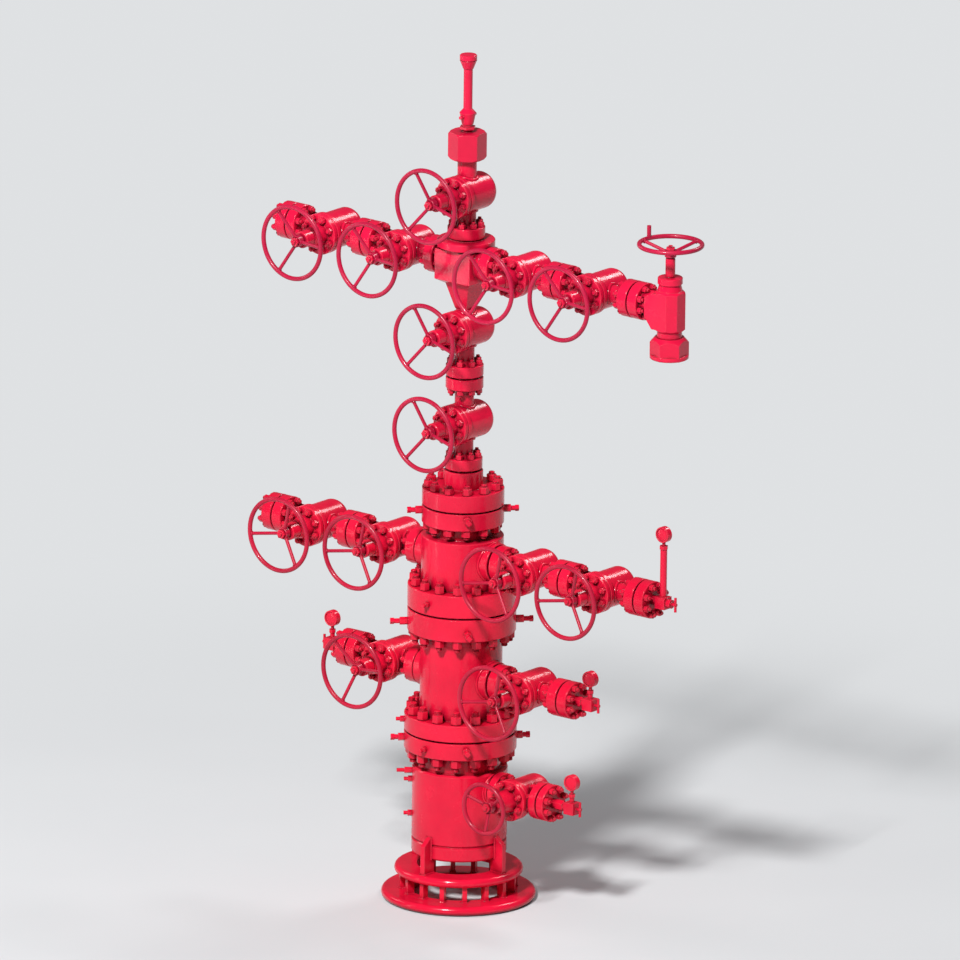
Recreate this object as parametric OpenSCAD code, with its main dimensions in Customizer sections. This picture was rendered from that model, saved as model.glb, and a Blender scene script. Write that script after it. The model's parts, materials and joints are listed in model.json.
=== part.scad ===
// Wellhead and production tree: stacked casing and tubing heads on a landing base,
// gate valves on every outlet, a cross with two wings, and an adjustable choke.
// Millimetres, +Z up, origin at the middle of the base's underside.
// Wings and side outlets lie along X, and the handwheels face -Y.

/* [Landing base] */
// Outer radius of the bottom ring
base_r = 401; // [385:1:430]
// Height of the bottom ring
base_h = 48; // [36:1:60]
// Radius of the open middle of the bottom ring
base_bore_r = 255; // [230:1:262]
// Height of the short ribs between the two rings
rib_h = 84; // [60:1:110]
// Number of short ribs
rib_count = 16; // [8:4:24]
// Thickness of the ribs
rib_t = 24; // [14:1:32]
// Radius at the inner edge of the ribs
rib_in_r = 266; // [264:1:280]
// Radius at the outer edge of the ribs
rib_out_r = 306; // [295:1:325]
// Outer radius of the upper ring
cage_r = 334; // [328:1:360]
// Radius of the open middle of the upper ring
cage_bore_r = 216; // [195:1:220]
// Thickness of the upper ring
cage_h = 45; // [30:1:60]
// Thickness of the four tall gussets
gusset_t = 28; // [18:1:40]
// Radius at the outer edge of the gussets
gusset_r = 300; // [280:1:320]
// Height of the gussets' outer edge above the upper ring
gusset_edge_h = 150; // [110:1:165]
// Height of the gussets at the barrel, above the upper ring
gusset_h = 194; // [180:1:230]
// Clear height between the upper ring and the barrel's lower end
sleeve_gap = 71; // [40:1:90]

/* [Casing head] */
// Radius of the casing head's barrel
barrel_r = 247; // [240:1:252]
// Height of the barrel
barrel_h = 463; // [440:1:520]
// Height of the weld groove above the barrel's lower end
weld_h = 77; // [50:1:120]
// How far the neck under the casing head's flange stands in from the barrel's face
casing_neck_step = 33; // [29:1:47]
// Height of that neck
casing_neck_h = 95; // [80:1:130]
// Radius of the socket for the surface casing
casing_socket_r = 171; // [140:1:178]
// Depth of that socket
casing_socket_h = 230; // [150:1:260]
// Height of the side outlet above the barrel's lower end
casing_outlet_h = 368; // [340:1:370]

/* [Large flanges] */
// Radius of the flange pair on the casing head
low_flange_r = 292; // [286:1:310]
// Thickness of each flange of that pair
low_flange_t = 90; // [70:1:100]
// Radius of the flange pair under the tubing head
mid_flange_r = 282; // [272:1:290]
// Thickness of each flange of that pair
mid_flange_t = 120; // [90:1:130]
// Radius of the flange pair on the tubing head
top_flange_r = 213; // [205:1:225]
// Thickness of each flange of that pair
top_flange_t = 90; // [70:1:100]
// Gap that the ring gasket leaves between two flanges
joint_gap = 8; // [6:0.5:12]

/* [Casing spool] */
// Radius of the casing spool's body
spool_r = 213; // [200:1:220]
// Height of the plain body between its flanges
spool_h = 406; // [385:1:430]
// Height of the tapered shoulder under the top flange
shoulder_h = 40; // [25:1:60]
// Height of the side outlets above the spool's lower face
spool_outlet_h = 291; // [260:1:310]

/* [Tubing head] */
// Radius of the tubing head's body
tubing_r = 213; // [200:1:220]
// Height of the plain body above its bottom flange
tubing_h = 260; // [245:1:300]
// Radius of the neck under the top flange
tubing_neck_r = 148; // [138:1:150]
// Height of that neck
tubing_neck_h = 68; // [60:1:90]
// Height of the side outlets above the tubing head's lower face
tubing_outlet_h = 264; // [226:1:274]

/* [Gate valves] */
// Length from the middle of a valve to its end face
valve_half = 245; // [235:1:270]
// Radius of the round valve body
body_r = 98; // [85:1:105]
// Distance of the body's rounded back from the bore
body_back = 150; // [125:1:160]
// Radius of the valve's end flanges
flange_r = 98; // [92:1:100]
// Thickness of the end flanges
flange_t = 60; // [45:1:66]
// Radius of the necks between the body and the flanges
neck_r = 50; // [42:1:60]
// Radius of the bonnet flange
bonnet_r = 108; // [106:1:118]
// Thickness of the bonnet flange
bonnet_t = 30; // [22:1:36]
// Distance of the bonnet joint from the bore
bonnet_y = 92; // [86:1:100]
// Radius of the gland tube
gland_r = 44; // [34:1:48]
// Length of the tapered bonnet neck
bonnet_taper = 78; // [60:1:85]
// Radius of the stem
stem_r = 14; // [10:0.5:16]

/* [Handwheels] */
// Outer radius of the valve handwheels
wheel_r = 202; // [170:1:208]
// Thickness of the rim's round bar
rim_t = 24; // [18:1:30]
// Distance from the bore to the rim
wheel_y = 336; // [325:1:350]
// Distance that the hub lies behind the rim
dish = 48; // [40:1:54]
// Radius of the hub
hub_r = 30; // [26:1:36]
// Length of the hub
hub_len = 36; // [30:1:42]
// Radius of the spokes
spoke_r = 9; // [7:0.5:11]
// Running clearance between the stem and the hub, on the radius
stem_clear = 0.05; // [0.02:0.01:0.1]
// Gap between the gland tube and the hub
hub_gap = 5; // [4:0.5:8]

/* [Casing head valve] */
// Length of the small valve towards the barrel
small_in = 157; // [156:1:190]
// Length of the small valve away from the barrel
small_out = 157; // [156:1:190]
// Outer radius of its handwheel
small_wheel_r = 142; // [120:1:160]

/* [Side outlets] */
// Distance of the flat outlet faces from the axis, on the spool and the tubing head
pad_x = 240; // [234:1:246]
// Length of the valves there towards the outlet face
outlet_in = 205; // [200:1:230]
// Radius of the outlet pads
pad_r = 104; // [100:1:106]
// Radius of the outlet pad on the casing head
casing_pad_r = 92; // [86:1:94]

/* [Tree] */
// Height of the round stub on the adapter flange
stub_h = 92; // [60:1:110]
// Radius of the stub
stub_r = 102; // [98:1:110]
// Length of the plain neck on top of the upper master valve
upper_neck = 112; // [105:1:130]
// Height of the cross's long lower taper
taper_h = 135; // [115:1:155]
// Height of the flare between that taper and the block
flare_h = 25; // [18:1:40]
// Height of the cross's square block
block_h = 161; // [150:1:170]
// Half the width of the square block
block_half = 115; // [108:1:122]
// Half the width where the flare begins
waist_half = 74; // [64:1:84]
// Half the width at the taper's narrow end
foot_half = 38; // [36:1:46]
// Height of the wings above the bottom of the square block
wing_h = 94; // [92:1:98]
// Radius of the round top disc
disc_r = 150; // [140:1:160]
// Thickness of the round top disc
disc_t = 40; // [30:1:50]
// Height of the groove under the disc
disc_groove = 12; // [8:1:16]
// Radius of the round bosses that carry the wings
boss_r = 86; // [76:1:92]
// Length of the wing and swab valves towards the cross
cross_in = 229; // [215:1:252]

/* [Tree cap] */
// Length of the plain neck on top of the swab valve
cap_neck = 190; // [180:1:220]
// Radius of the cap nut across its corners
cap_nut_r = 100; // [88:1:110]
// Height of the cap nut
cap_nut_h = 143; // [120:1:160]
// Height of the bleed valve's body
bleed_h = 82; // [70:1:95]
// Half the width of the bleed valve's body
bleed_half = 43; // [36:1:48]
// Half the length of the bleed valve's cross bar
bleed_bar = 62; // [50:1:75]
// Length of the bleed valve's stem
bleed_stem = 213; // [180:1:230]
// Radius of the bleed valve's stem
bleed_stem_r = 23.5; // [18:0.5:26]
// Height of the top coupling
coupling_h = 74; // [55:1:90]
// Radius of the top coupling
coupling_r = 45; // [36:1:52]

/* [Choke] */
// Half the width of the choke block
choke_half = 75; // [70:1:80]
// Cut on the corners of the choke block
choke_chamfer = 41; // [34:1:44]
// Height of the choke block
choke_h = 218; // [205:1:230]
// Height of the block's underside below the wings
choke_drop = 128; // [120:1:134]
// Distance from the inlet flange to the block's near side
inlet_len = 75; // [60:1:90]
// Reach of the block's shoulder towards the inlet flange, from the choke's axis
shoulder_x = 110; // [100:1:125]
// Height of the tapered neck under the choke's collar
collar_neck_h = 33; // [24:1:45]
// Radius of the choke's collar
collar_r = 65; // [55:1:75]
// Height of the choke's collar
collar_h = 37; // [30:1:50]
// Height of the choke's stem housing
choke_stem_h = 101; // [85:1:120]
// Radius of the choke's stem housing
choke_stem_r = 25.5; // [20:0.5:30]
// Outer radius of the choke's handwheel
choke_wheel_r = 174; // [150:1:190]
// Height of the peg on the choke's handwheel
peg_h = 55; // [40:1:70]
// Radius of the outlet bore
outlet_bore_r = 38; // [30:1:42]
// Radius of the outlet nozzle
nozzle_r = 57; // [52:1:62]
// Length of the outlet nozzle
nozzle_h = 144; // [130:1:155]
// Radius of the union nut across its corners
union_r = 101; // [92:1:106]
// Height of the union nut
union_h = 114; // [95:1:120]

/* [Gauges] */
// Radius of the gauge cases
gauge_r = 42; // [34:1:46]
// Thickness of the gauge cases
gauge_t = 34; // [26:1:42]
// Height of the tubing head's gauge above its outlet
tall_gauge_h = 363; // [320:1:390]
// Height of the casing gauges above their outlets
short_gauge_h = 136; // [110:1:160]
// Length of the needle valves
needle_len = 150; // [130:1:180]

/* [Hidden] */
$fn = 48;

// Levels of the stack, from the ground up
cage_z = base_h + rib_h;
cage_top_z = cage_z + cage_h;
barrel_z = cage_top_z + sleeve_gap;
casing_neck_r = barrel_r - casing_neck_step;
casing_neck_z = barrel_z + barrel_h;
casing_flange_z = casing_neck_z + casing_neck_h;
spool_z = casing_flange_z + low_flange_t + joint_gap;
spool_shoulder_z = spool_z + low_flange_t + spool_h;
spool_flange_z = spool_shoulder_z + shoulder_h;
tubing_z = spool_flange_z + mid_flange_t + joint_gap;
tubing_neck_z = tubing_z + mid_flange_t + tubing_h;
tubing_flange_z = tubing_neck_z + tubing_neck_h;
adapter_z = tubing_flange_z + top_flange_t + joint_gap;
stub_z = adapter_z + top_flange_t;
lower_master_z = stub_z + stub_h + joint_gap + valve_half;
upper_master_z = lower_master_z + 2 * valve_half + joint_gap;
cross_z = upper_master_z + upper_neck;
block_z = cross_z + taper_h + flare_h;
wing_z = block_z + wing_h;
disc_z = block_z + block_h + disc_groove;
swab_z = disc_z + disc_t + joint_gap + cross_in;
cap_z = swab_z + cap_neck;
casing_outlet_z = barrel_z + casing_outlet_h;
spool_outlet_z = spool_z + spool_outlet_h;
tubing_outlet_z = tubing_z + tubing_outlet_h;

// Places along the side arms
valve_pitch = 2 * valve_half + joint_gap;
arm_face_x = disc_r - joint_gap / 2;
inner_wing_x = arm_face_x + joint_gap + cross_in;
outer_wing_x = inner_wing_x + valve_pitch;
wing_end_x = outer_wing_x + valve_half + joint_gap;
inner_outlet_x = pad_x + joint_gap + outlet_in;
outer_outlet_x = inner_outlet_x + valve_pitch;
spool_end_x = inner_outlet_x + valve_half + joint_gap;
tubing_end_x = outer_outlet_x + valve_half + joint_gap;
pad_stand = 2;
casing_pad_x = barrel_r + pad_stand;
casing_valve_x = casing_pad_x + joint_gap + small_in;
casing_end_x = casing_valve_x + small_out + joint_gap;
choke_x = wing_end_x + flange_t + inlet_len + choke_half;
choke_z = wing_z - choke_drop;
collar_z = choke_z + choke_h + collar_neck_h;
choke_stem_z = collar_z + collar_h;

// Bonnet, gland and wheel distances in front of the bore
bonnet_front = bonnet_y + bonnet_t;
gland_start = bonnet_front + bonnet_taper;
hub_back = wheel_y - dish - hub_len / 2;
gland_end = hub_back - hub_gap;
nut_gap = 2;
nut_len = 14;
nut_r = 24;
stem_end = hub_back + hub_len + nut_gap + nut_len;
small_wheel_y = 316;
small_flange_t = 45;
choke_pin_h = hub_gap + hub_len + nut_gap + nut_len;
choke_wheel_z = choke_stem_z + choke_stem_h + hub_gap + hub_len / 2 + dish;
nozzle_end_z = choke_z - nozzle_h;
thread_clear = 0.1;

// Places of the tees and gauges, from the end flanges
tee_x = 90;
tall_tee_x = 62;
casing_tee_extra = 30;
gauge_neck = 18;

// Angle of each wheel's first spoke, from +X towards +Z
master_spoke = 112;
wing_spoke = 2;
outlet_spoke = 68;
left_casing_spoke = 10;
head_spoke = 35;
choke_spoke = 70;

// Small shared sizes
edge = 4;
big_edge = 8;
groove = 9;
body_round = 45;
gasket_share = 0.62;
view_turn = 39;

// A disc or drum on the Z axis with both outer edges chamfered
module drum(r, h, chamfer = edge) {
    rotate_extrude()
        polygon([
            [0, 0],
            [r - chamfer, 0],
            [r, chamfer],
            [r, h - chamfer],
            [r - chamfer, h],
            [0, h]
        ]);
}

// A ring with a full round on its outer edge
module rounded_ring(r, bore_r, h) {
    rotate_extrude() {
        translate([bore_r, 0])
            square([r - h / 2 - bore_r, h]);
        translate([r - h / 2, h / 2])
            circle(r = h / 2);
    }
}

// A flange with half the ring gasket's thickness on its far face
module joint_flange(r, t) {
    face_r = r * gasket_share;
    face_z = t + joint_gap / 2;
    rotate_extrude()
        polygon([
            [0, 0],
            [r - edge, 0],
            [r, edge],
            [r, t - edge],
            [r - edge, t],
            [face_r, t],
            [face_r, face_z],
            [0, face_z]
        ]);
}

// Turns Z to -Y, the side that the handwheels face
module facing_front() {
    rotate([90, 0, 0])
        children();
}

// Turns Z to +X, along the right arm
module along_arm() {
    rotate([0, 90, 0])
        children();
}

// Turns an X run upwards, for the valves of the vertical bore
module upright(z) {
    translate([0, 0, z])
        rotate([0, -90, 0])
            children();
}

// Places an X run on the right or the left arm
module on_arm(side, x, z) {
    translate([side * x, 0, z])
        mirror([side < 0 ? 1 : 0, 0, 0])
            children();
}

// One end of a valve: neck, hub taper and flange, with the end face at the given length
module valve_end(length, r, t) {
    hub_taper = 22;
    hub_rise = 8;
    along_arm() {
        cylinder(r = neck_r, h = length - t);
        translate([0, 0, length - t - hub_taper])
            cylinder(r1 = neck_r, r2 = neck_r + hub_rise, h = hub_taper + edge);
        translate([0, 0, length - t])
            joint_flange(r, t);
    }
}

// A plain neck that runs into the piece above, with no flange
module plain_end(length) {
    along_arm()
        cylinder(r = neck_r, h = length);
}

// The round valve body, lying along Y, with its bonnet flange in front
module valve_body() {
    facing_front() {
        translate([0, 0, -body_back])
            rotate_extrude() {
                square([body_r - body_round, body_round * 2]);
                translate([0, body_round])
                    square([body_r, body_back + bonnet_y - bonnet_t - body_round]);
                translate([body_r - body_round, body_round])
                    intersection() {
                        circle(r = body_round);
                        translate([0, -body_round])
                            square(body_round);
                    }
            }
        translate([0, 0, bonnet_y - bonnet_t])
            drum(bonnet_r, bonnet_t);
    }
}

// A gate valve with its bore along X, from the inner face to the outer face
module gate_valve(inner, outer, inner_flange = true, outer_flange = true, r = flange_r, t = flange_t) {
    valve_body();
    mirror([1, 0, 0]) {
        if (inner_flange)
            valve_end(inner, r, t);
        else
            plain_end(inner);
    }
    if (outer_flange)
        valve_end(outer, r, t);
    else
        plain_end(outer);
}

// A bonnet with its gland tube, the stem and the nut that keeps the wheel on
module bonnet(tube_end = gland_end, end = stem_end) {
    seat = 2;
    seat_step = 22;
    cone_step = 44;
    seat_r = bonnet_r - seat_step;
    cone_r = bonnet_r - cone_step;
    facing_front() {
        translate([0, 0, bonnet_y])
            cylinder(r = seat_r, h = seat);
        translate([0, 0, bonnet_y + seat])
            drum(bonnet_r, bonnet_t - seat);
        translate([0, 0, bonnet_front])
            cylinder(r1 = cone_r, r2 = gland_r + 2, h = gland_start - bonnet_front);
        translate([0, 0, gland_start])
            drum(gland_r, tube_end - gland_start);
        translate([0, 0, tube_end - 1])
            cylinder(r = stem_r, h = end - tube_end + 1);
        translate([0, 0, end - nut_len])
            cylinder(r = nut_r, h = nut_len, $fn = 6);
    }
}

// A three-spoked wheel round Z, with the rim at zero and the hub behind it
module handwheel(r, first_spoke) {
    rim_c = r - rim_t / 2;
    spoke_run = sqrt(rim_c * rim_c + dish * dish);
    rotate_extrude()
        translate([rim_c, 0])
            circle(r = rim_t / 2, $fn = 24);
    difference() {
        union() {
            translate([0, 0, -dish - hub_len / 2])
                drum(hub_r, hub_len, 3);
            for (turn = [0 : 120 : 240])
                rotate([0, 0, first_spoke + turn])
                    translate([0, 0, -dish])
                        rotate([0, 90 - atan2(dish, rim_c), 0])
                            cylinder(r = spoke_r, h = spoke_run, $fn = 24);
        }
        translate([0, 0, -dish - hub_len / 2 - 1])
            cylinder(r = stem_r + stem_clear, h = hub_len + 2);
    }
}

// A handwheel in front of a valve
module front_wheel(x, z, first_spoke, r = wheel_r, y = wheel_y) {
    color("firebrick")
        translate([x, -y, z])
            facing_front()
                handwheel(r, first_spoke);
}

// Landing base: the bottom ring
module base_ring() {
    color("crimson")
        rounded_ring(base_r, base_bore_r, base_h);
}

// Landing base: short ribs, the upper ring and the four tall gussets
module base_cage() {
    color("crimson") {
        for (i = [0 : rib_count - 1])
            rotate([0, 0, i * 360 / rib_count])
                translate([rib_in_r, -rib_t / 2, base_h])
                    cube([rib_out_r - rib_in_r, rib_t, rib_h + edge]);
        translate([0, 0, cage_z])
            rounded_ring(cage_r, cage_bore_r, cage_h);
        difference() {
            for (turn = [0 : 90 : 270])
                rotate([0, 0, turn])
                    gusset();
            translate([0, 0, barrel_z])
                cylinder(r = barrel_r, h = barrel_h);
        }
    }
}

// One tall gusset, with a slanted top, from the upper ring to the barrel's side
module gusset() {
    foot_in = cage_bore_r + edge;
    translate([0, gusset_t / 2, cage_top_z])
        rotate([90, 0, 0])
            linear_extrude(gusset_t)
                polygon([
                    [foot_in, -edge],
                    [gusset_r, -edge],
                    [gusset_r, gusset_edge_h],
                    [barrel_r, gusset_h],
                    [foot_in, gusset_h]
                ]);
}

// A flat-faced round pad on a body's side, along X from the axis to its face
module outlet_pad(face_x, r) {
    along_arm()
        joint_flange(r, face_x);
}

// Casing head: barrel with a weld groove and a socket below, neck, flange and one outlet
module casing_head() {
    color("crimson")
        difference() {
            union() {
                translate([0, 0, barrel_z])
                    drum(barrel_r, weld_h, groove);
                translate([0, 0, barrel_z + weld_h])
                    drum(barrel_r, barrel_h - weld_h, groove);
                translate([0, 0, casing_neck_z])
                    cylinder(r = casing_neck_r, h = casing_neck_h);
                translate([0, 0, casing_flange_z])
                    joint_flange(low_flange_r, low_flange_t);
                translate([0, 0, casing_outlet_z])
                    outlet_pad(casing_pad_x, casing_pad_r);
            }
            translate([0, 0, barrel_z - 1])
                cylinder(r = casing_socket_r, h = casing_socket_h + 1);
        }
}

// Casing spool: bottom flange, plain body with two outlets, tapered shoulder and top flange
module casing_spool() {
    color("crimson") {
        translate([0, 0, spool_z + low_flange_t])
            mirror([0, 0, 1])
                joint_flange(low_flange_r, low_flange_t);
        translate([0, 0, spool_z + low_flange_t])
            cylinder(r = spool_r, h = spool_h);
        translate([0, 0, spool_shoulder_z])
            cylinder(r1 = spool_r, r2 = spool_r + big_edge, h = shoulder_h);
        translate([0, 0, spool_flange_z])
            joint_flange(mid_flange_r, mid_flange_t);
        for (side = [-1, 1])
            on_arm(side, 0, spool_outlet_z)
                outlet_pad(pad_x, pad_r);
    }
}

// Tubing head: bottom flange, body with two outlets, neck and top flange
module tubing_head() {
    color("crimson") {
        translate([0, 0, tubing_z + mid_flange_t])
            mirror([0, 0, 1])
                joint_flange(mid_flange_r, mid_flange_t);
        translate([0, 0, tubing_z + mid_flange_t])
            drum(tubing_r, tubing_h);
        translate([0, 0, tubing_neck_z - edge])
            cylinder(r = tubing_neck_r, h = tubing_neck_h + edge);
        translate([0, 0, tubing_flange_z])
            joint_flange(top_flange_r, top_flange_t);
        for (side = [-1, 1])
            on_arm(side, 0, tubing_outlet_z)
                outlet_pad(pad_x, pad_r);
    }
}

// Adapter: the flange that closes the tubing head, with a round stub for the master valve
module adapter_flange() {
    color("crimson") {
        translate([0, 0, adapter_z + top_flange_t])
            mirror([0, 0, 1])
                joint_flange(top_flange_r, top_flange_t);
        translate([0, 0, stub_z - edge])
            joint_flange(stub_r, stub_h + edge);
    }
}

module lower_master_valve() {
    color("crimson")
        upright(lower_master_z)
            gate_valve(valve_half, valve_half);
}

module upper_master_valve() {
    color("crimson")
        upright(upper_master_z)
            gate_valve(valve_half, upper_neck, outer_flange = false);
}

module swab_valve() {
    color("crimson")
        upright(swab_z)
            gate_valve(cross_in, cap_neck, outer_flange = false);
}

// A four-sided frustum that widens upwards, its top at full height
module square_taper(bottom, top, h) {
    intersection() {
        taper_along_y(bottom, top, h);
        rotate([0, 0, 90])
            taper_along_y(bottom, top, h);
    }
}

// The outline of the taper seen along Y, drawn out over the block's full width
module taper_along_y(bottom, top, h) {
    translate([0, top, 0])
        rotate([90, 0, 0])
            linear_extrude(2 * top)
                polygon([[-bottom, 0], [bottom, 0], [top, h], [-top, h]]);
}

// Cross: a square block on a flare and a long square taper, with a round disc on top
module cross() {
    groove_r = block_half + edge;
    color("crimson") {
        translate([0, 0, cross_z])
            square_taper(foot_half, waist_half, taper_h);
        translate([0, 0, cross_z + taper_h])
            square_taper(waist_half, block_half, flare_h);
        translate([-block_half, -block_half, block_z])
            cube([2 * block_half, 2 * block_half, block_h]);
        translate([0, 0, block_z + block_h])
            cylinder(r = groove_r, h = disc_groove);
        translate([0, 0, disc_z])
            joint_flange(disc_r, disc_t);
        for (side = [-1, 1])
            on_arm(side, 0, wing_z)
                along_arm()
                    joint_flange(boss_r, arm_face_x);
    }
}

// Tree cap: chamfered hexagonal nut, bleed valve with its cross bar, stem and top coupling
module tree_cap() {
    neck_h = 41;
    neck_nut_h = 14;
    top_h = 22;
    bar_r = 9;
    bleed_neck_r = 27;
    cup_foot_r = 31;
    bleed_z = cap_nut_h + neck_h;
    stem_z = bleed_z + bleed_h;
    cup_h = bleed_h - top_h;
    coupling_z = stem_z + bleed_stem;
    cone_h = coupling_h * 0.6;
    color("crimson")
        translate([0, 0, cap_z]) {
            rotate([0, 0, view_turn])
                chamfered_hex(cap_nut_r, cap_nut_h);
            translate([0, 0, cap_nut_h - edge])
                cylinder(r = bleed_neck_r, h = neck_h + 2 * edge);
            translate([0, 0, cap_nut_h + neck_nut_h])
                cylinder(r = bleed_half, h = neck_nut_h, $fn = 6);
            translate([0, 0, bleed_z])
                cylinder(r1 = cup_foot_r, r2 = bleed_half, h = cup_h);
            translate([0, bleed_bar, bleed_z + cup_h - 2 * bar_r])
                facing_front()
                    cylinder(r = bar_r, h = 2 * bleed_bar);
            translate([0, 0, stem_z - top_h])
                cylinder(r1 = bleed_half, r2 = bleed_stem_r, h = top_h);
            translate([0, 0, stem_z])
                cylinder(r = bleed_stem_r, h = bleed_stem);
            translate([0, 0, coupling_z])
                cylinder(r1 = bleed_stem_r + edge, r2 = coupling_r, h = cone_h);
            translate([0, 0, coupling_z + cone_h])
                drum(coupling_r, coupling_h - cone_h);
        }
}

// A hexagonal nut on the Z axis whose corners are turned off at both ends
module chamfered_hex(r, h) {
    flat_r = r * cos(30);
    turned = (r - flat_r) * 0.8;
    intersection() {
        cylinder(r = r, h = h, $fn = 6);
        drum(r, h, turned);
    }
}

module left_inner_wing_valve() {
    color("crimson")
        on_arm(-1, inner_wing_x, wing_z)
            gate_valve(cross_in, valve_half);
}

module left_outer_wing_valve() {
    color("crimson")
        on_arm(-1, outer_wing_x, wing_z)
            gate_valve(valve_half, valve_half);
}

module right_inner_wing_valve() {
    color("crimson")
        on_arm(1, inner_wing_x, wing_z)
            gate_valve(cross_in, valve_half);
}

module right_outer_wing_valve() {
    color("crimson")
        on_arm(1, outer_wing_x, wing_z)
            gate_valve(valve_half, valve_half);
}

module left_inner_tubing_valve() {
    color("crimson")
        on_arm(-1, inner_outlet_x, tubing_outlet_z)
            gate_valve(outlet_in, valve_half);
}

module left_outer_tubing_valve() {
    color("crimson")
        on_arm(-1, outer_outlet_x, tubing_outlet_z)
            gate_valve(valve_half, valve_half);
}

module right_inner_tubing_valve() {
    color("crimson")
        on_arm(1, inner_outlet_x, tubing_outlet_z)
            gate_valve(outlet_in, valve_half);
}

module right_outer_tubing_valve() {
    color("crimson")
        on_arm(1, outer_outlet_x, tubing_outlet_z)
            gate_valve(valve_half, valve_half);
}

module left_casing_valve() {
    color("crimson")
        on_arm(-1, inner_outlet_x, spool_outlet_z)
            gate_valve(outlet_in, valve_half);
}

module right_casing_valve() {
    color("crimson")
        on_arm(1, inner_outlet_x, spool_outlet_z)
            gate_valve(outlet_in, valve_half);
}

module casing_head_valve() {
    color("crimson")
        on_arm(1, casing_valve_x, casing_outlet_z)
            gate_valve(small_in, small_out, t = small_flange_t);
}

// The bonnets of the tree's seven valves
module tree_bonnets() {
    color("crimson") {
        for (z = [lower_master_z, upper_master_z, swab_z])
            translate([0, 0, z])
                bonnet();
        for (x = [-outer_wing_x, -inner_wing_x, inner_wing_x, outer_wing_x])
            translate([x, 0, wing_z])
                bonnet();
    }
}

// The bonnets of the seven valves on the heads and the spool
module outlet_bonnets() {
    color("crimson") {
        for (x = [-outer_outlet_x, -inner_outlet_x, inner_outlet_x, outer_outlet_x])
            translate([x, 0, tubing_outlet_z])
                bonnet();
        for (x = [-inner_outlet_x, inner_outlet_x])
            translate([x, 0, spool_outlet_z])
                bonnet();
        translate([casing_valve_x, 0, casing_outlet_z])
            bonnet(gland_end - wheel_y + small_wheel_y, stem_end - wheel_y + small_wheel_y);
    }
}

// An upright prism with a square outline whose corners are cut off
module cut_corner_prism(half, cut, h) {
    linear_extrude(h)
        polygon([
            [half - cut, -half],
            [half, cut - half],
            [half, half - cut],
            [half - cut, half],
            [cut - half, half],
            [-half, half - cut],
            [-half, cut - half],
            [cut - half, -half]
        ]);
}

// Choke: inlet flange and neck, cut-cornered block, collar, stem housing and outlet nozzle
module choke_body() {
    inlet_neck_r = 66;
    collar_foot_r = 65;
    collar_top_r = 57;
    turned_r = choke_half + big_edge;
    color("crimson")
        difference() {
            union() {
                end_flange(1, wing_end_x, wing_z, flange_r, flange_t);
                translate([wing_end_x + flange_t - edge, 0, wing_z])
                    along_arm()
                        cylinder(r = inlet_neck_r, h = inlet_len + choke_half);
                translate([choke_x, 0, choke_z]) {
                    choke_shoulder();
                    intersection() {
                        cut_corner_prism(choke_half, choke_chamfer, choke_h);
                        drum(turned_r, choke_h, 2 * big_edge);
                    }
                }
                translate([choke_x, 0, collar_z - collar_neck_h])
                    cylinder(r1 = collar_foot_r, r2 = collar_top_r, h = collar_neck_h);
                translate([choke_x, 0, collar_z])
                    drum(collar_r, collar_h, edge);
                translate([choke_x, 0, choke_stem_z])
                    drum(choke_stem_r, choke_stem_h);
                translate([choke_x, 0, choke_stem_z + choke_stem_h]) {
                    cylinder(r = stem_r, h = choke_pin_h);
                    translate([0, 0, choke_pin_h - nut_len])
                        cylinder(r = nut_r, h = nut_len, $fn = 6);
                }
                translate([choke_x, 0, nozzle_end_z])
                    cylinder(r = nozzle_r, h = nozzle_h);
                translate([choke_x, 0, nozzle_end_z + union_h])
                    cylinder(r = nozzle_r + big_edge, h = nozzle_h - union_h);
            }
            translate([choke_x, 0, nozzle_end_z - 1])
                cylinder(r = outlet_bore_r, h = nozzle_h + choke_drop);
        }
}

// The block's shoulder towards the inlet, with its upper and lower corners cut
module choke_shoulder() {
    cut_x = 48;
    top_cut = 30;
    low_cut = 62;
    inset = 14;
    translate([0, choke_half, 0])
        rotate([90, 0, 0])
            linear_extrude(2 * choke_half)
                polygon([
                    [0, inset],
                    [0, choke_h - inset],
                    [cut_x - shoulder_x, choke_h - inset],
                    [-shoulder_x, choke_h - inset - top_cut],
                    [-shoulder_x, low_cut + inset],
                    [cut_x - shoulder_x, inset]
                ]);
}

// The hexagonal nut of the outlet union, with a turned shoulder and a round foot
module choke_union() {
    shoulder_h = 28;
    shoulder_in = 25;
    foot_h = 22;
    color("crimson")
        translate([choke_x, 0, nozzle_end_z])
            difference() {
                union() {
                    intersection() {
                        rotate([0, 0, view_turn])
                            cylinder(r = union_r, h = union_h, $fn = 6);
                        rotate_extrude()
                            polygon([
                                [0, 0],
                                [union_r, 0],
                                [union_r, union_h - shoulder_h],
                                [union_r - shoulder_in, union_h],
                                [0, union_h]
                            ]);
                    }
                    drum(union_r, foot_h);
                }
                translate([0, 0, -1])
                    cylinder(r = nozzle_r + thread_clear, h = union_h + 2);
            }
}

// A flange that closes an arm, its raised face towards the valve
module end_flange(side, x, z, r, t) {
    on_arm(side, x + t, z)
        mirror([1, 0, 0])
            along_arm()
                joint_flange(r, t);
}

// The end flanges of the left wing, the tubing head and the casing outlets
module end_flanges() {
    color("crimson") {
        end_flange(-1, wing_end_x, wing_z, flange_r, flange_t);
        for (side = [-1, 1]) {
            end_flange(side, tubing_end_x, tubing_outlet_z, flange_r, flange_t);
            end_flange(side, spool_end_x, spool_outlet_z, flange_r, flange_t);
        }
        end_flange(1, casing_end_x, casing_outlet_z, flange_r, small_flange_t);
    }
}

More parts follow.
